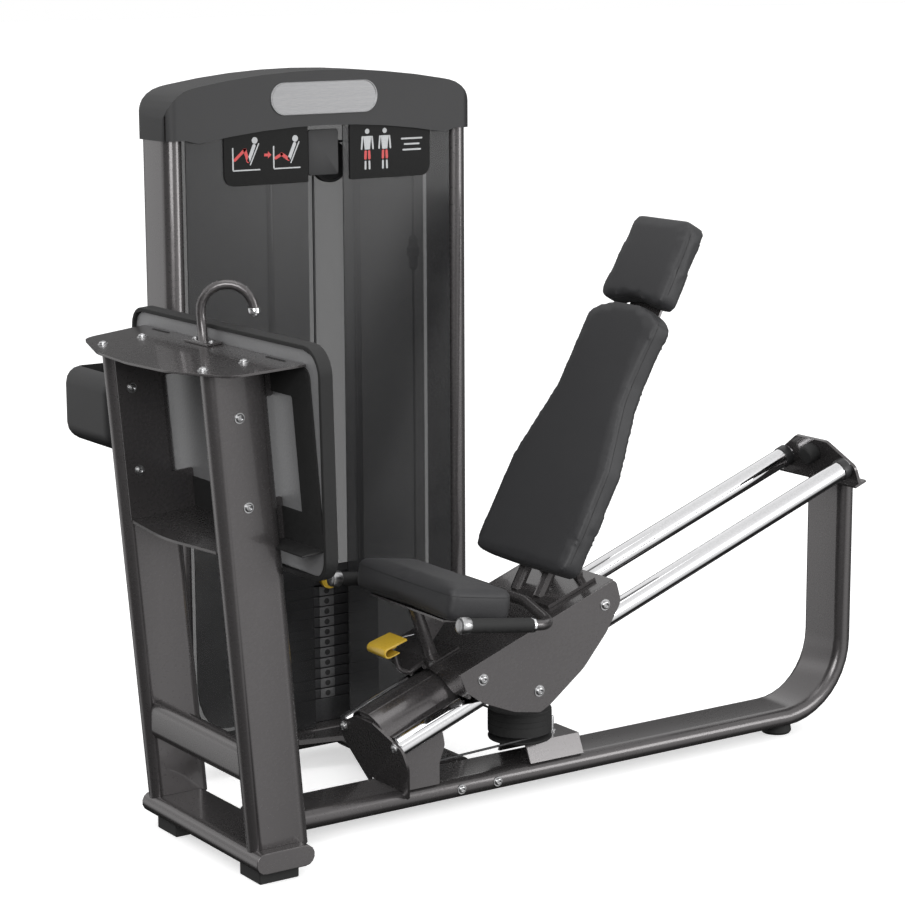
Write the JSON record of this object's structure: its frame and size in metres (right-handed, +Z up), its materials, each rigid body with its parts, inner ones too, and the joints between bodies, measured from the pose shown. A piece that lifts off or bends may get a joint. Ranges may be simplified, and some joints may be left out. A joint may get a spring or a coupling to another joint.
{
  "type": "leg press machine",
  "caption": "Seated leg press with a reclining seat carriage on two inclined rails, a fixed footplate and a shrouded weight tower joined by a cable.",
  "frame": {"origin": "centre of the bounding box's floor rectangle, on the floor", "axes": "+Z up, +X from the footplate to the high end of the rails, +Y from the seat towards the weight tower"},
  "size_m": [1.94, 1.0743, 1.636],
  "materials": {
    "frame_paint": "glossy metallic dark grey",
    "black_rubber": "matt",
    "light_steel": "satin",
    "chrome": "polished",
    "cowl_plastic": "fine texture",
    "smoked_panel": "glossy",
    "placard_black": "glossy",
    "weight_iron": "painted satin",
    "yellow_plastic": "glossy",
    "charcoal_vinyl": "upholstery vinyl, satin"
  },
  "bodies": {
    "machine": {"main_beam": "frame_paint", "front_cross_foot": "frame_paint", "cross_tie": "frame_paint", "leg_near": "frame_paint", "leg_far": "frame_paint", "leg_crossbar": "frame_paint", "top_plate": "frame_paint", "towel_hook": "frame_paint", "footplate_bracket": "frame_paint", "rail_front_plate": "frame_paint", "rail_rear_plate": "frame_paint", "pulley_bracket": "frame_paint", "tower_frame": "frame_paint", "foot_pad_near": "black_rubber", "foot_pad_far": "black_rubber", "rear_foot_puck": "black_rubber", "tower_foot_left": "black_rubber", "tower_foot_right": "black_rubber", "rail_stop_bumper": "black_rubber", "footplate_rim": "black_rubber", "footplate_panel": "light_steel", "cable_run": "light_steel", "rail_near": "chrome", "rail_far": "chrome", "guide_rod_left": "chrome", "guide_rod_right": "chrome", "tower_cowl": "cowl_plastic", "accessory_tray": "cowl_plastic", "shroud_panel_left": "smoked_panel", "shroud_panel_right": "smoked_panel", "shroud_panel_rear": "smoked_panel", "placard_left": "placard_black", "placard_right": "placard_black", "weight_stack_rest": "weight_iron"},
    "rack": {"adjust_rack": "frame_paint", "rack_cable": "light_steel"},
    "carriage": {"carriage_side_near": "frame_paint", "carriage_side_far": "frame_paint", "carriage_tie_plate": "frame_paint", "seat_pad": "charcoal_vinyl", "back_pad": "charcoal_vinyl", "head_pad": "charcoal_vinyl", "back_frame": "frame_paint", "seat_post": "frame_paint", "handle_bar": "frame_paint", "grip_near": "black_rubber", "grip_far": "black_rubber"},
    "lever": {"adjust_lever": "chrome"},
    "stack": {"weight_top_plate": "weight_iron", "stack_cable": "light_steel"},
    "pin": {"selector_pin": "yellow_plastic"},
    "roller_front_near": {"roller_front_near": "black_rubber"},
    "roller_front_far": {"roller_front_far": "black_rubber"},
    "roller_rear_near": {"roller_rear_near": "black_rubber"},
    "roller_rear_far": {"roller_rear_far": "black_rubber"},
    "front_pulley": {"front_pulley": "cowl_plastic"},
    "base_pulley": {"base_pulley": "cowl_plastic"},
    "beam_pulley": {"beam_pulley": "black_rubber"},
    "top_pulley_outer": {"top_pulley_outer": "cowl_plastic"},
    "top_pulley_inner": {"top_pulley_inner": "cowl_plastic"}
  },
  "joints": [
    {"name": "rack_slide", "type": "slide", "parent": "machine", "child": "rack", "axis": [0.9385, 0, 0.3453], "range_m": [0, 0.45], "deforming": ["rack_cable"]},
    {"name": "seat_adjust", "type": "slide", "parent": "rack", "child": "carriage", "axis": [0.9385, 0, 0.3453], "range_m": [0, 0.12]},
    {"name": "lever_lift", "type": "hinge", "parent": "carriage", "child": "lever", "pos_m": [-0.27739, -0.1525, 0.39792], "axis": [0, 1, 0], "range_deg": [0, 15], "stiffness_Nm_per_rad": 1, "springref_deg": -5.73},
    {"name": "stack_lift", "type": "slide", "parent": "machine", "child": "stack", "axis": [0, 0, 1], "range_m": [0, 0.45], "deforming": ["stack_cable"]},
    {"name": "pin_pull", "type": "slide", "parent": "stack", "child": "pin", "axis": [0, -1, 0], "range_m": [0, 0.03]},
    {"name": "spin_front_pulley", "type": "hinge", "parent": "machine", "child": "front_pulley", "pos_m": [-0.31405, -0.2075, 0.15], "axis": [0, 1, 0], "range_deg": [-15, 1006.7]},
    {"name": "spin_base_pulley", "type": "hinge", "parent": "machine", "child": "base_pulley", "pos_m": [0.06095, 0.333, 0.166], "axis": [1, 0, 0], "range_deg": [-820.7, 15]},
    {"name": "spin_beam_pulley", "type": "hinge", "parent": "machine", "child": "beam_pulley", "pos_m": [0.00595, -0.1525, 0.15], "axis": [0, 0, 1], "range_deg": [-483.8, 15]},
    {"name": "spin_top_outer", "type": "hinge", "parent": "machine", "child": "top_pulley_outer", "pos_m": [0.01595, 0.365, 1.42], "axis": [0, 1, 0], "range_deg": [-15, 588]},
    {"name": "spin_top_inner", "type": "hinge", "parent": "machine", "child": "top_pulley_inner", "pos_m": [-0.17105, 0.365, 1.42], "axis": [0, 1, 0], "range_deg": [-15, 588]},
    {"name": "spin_roller_front_near", "type": "hinge", "parent": "carriage", "child": "roller_front_near", "pos_m": [-0.20193, -0.2575, 0.32606], "axis": [0, 1, 0], "range_deg": [-15, 808.3]},
    {"name": "spin_roller_front_far", "type": "hinge", "parent": "carriage", "child": "roller_front_far", "pos_m": [-0.20193, -0.0475, 0.32606], "axis": [0, 1, 0], "range_deg": [-15, 808.3]},
    {"name": "spin_roller_rear_near", "type": "hinge", "parent": "carriage", "child": "roller_rear_near", "pos_m": [0.13311, -0.2575, 0.44933], "axis": [0, 1, 0], "range_deg": [-15, 808.3]},
    {"name": "spin_roller_rear_far", "type": "hinge", "parent": "carriage", "child": "roller_rear_far", "pos_m": [0.13311, -0.0475, 0.44933], "axis": [0, 1, 0], "range_deg": [-15, 808.3]}
  ],
  "couplings": [
    {"joint": "stack_lift", "follows": "rack_slide", "ratio": 1},
    {"joint": "spin_front_pulley", "follows": "rack_slide", "rad_per_m": 38.462},
    {"joint": "spin_base_pulley", "follows": "rack_slide", "rad_per_m": -31.25},
    {"joint": "spin_beam_pulley", "follows": "rack_slide", "rad_per_m": -18.182},
    {"joint": "spin_top_outer", "follows": "rack_slide", "rad_per_m": 22.222},
    {"joint": "spin_top_inner", "follows": "rack_slide", "rad_per_m": 22.222},
    {"joint": "spin_roller_front_near", "follows": "rack_slide", "rad_per_m": 30.769},
    {"joint": "spin_roller_front_far", "follows": "rack_slide", "rad_per_m": 30.769},
    {"joint": "spin_roller_rear_near", "follows": "rack_slide", "rad_per_m": 30.769},
    {"joint": "spin_roller_rear_far", "follows": "rack_slide", "rad_per_m": 30.769}
  ]
}
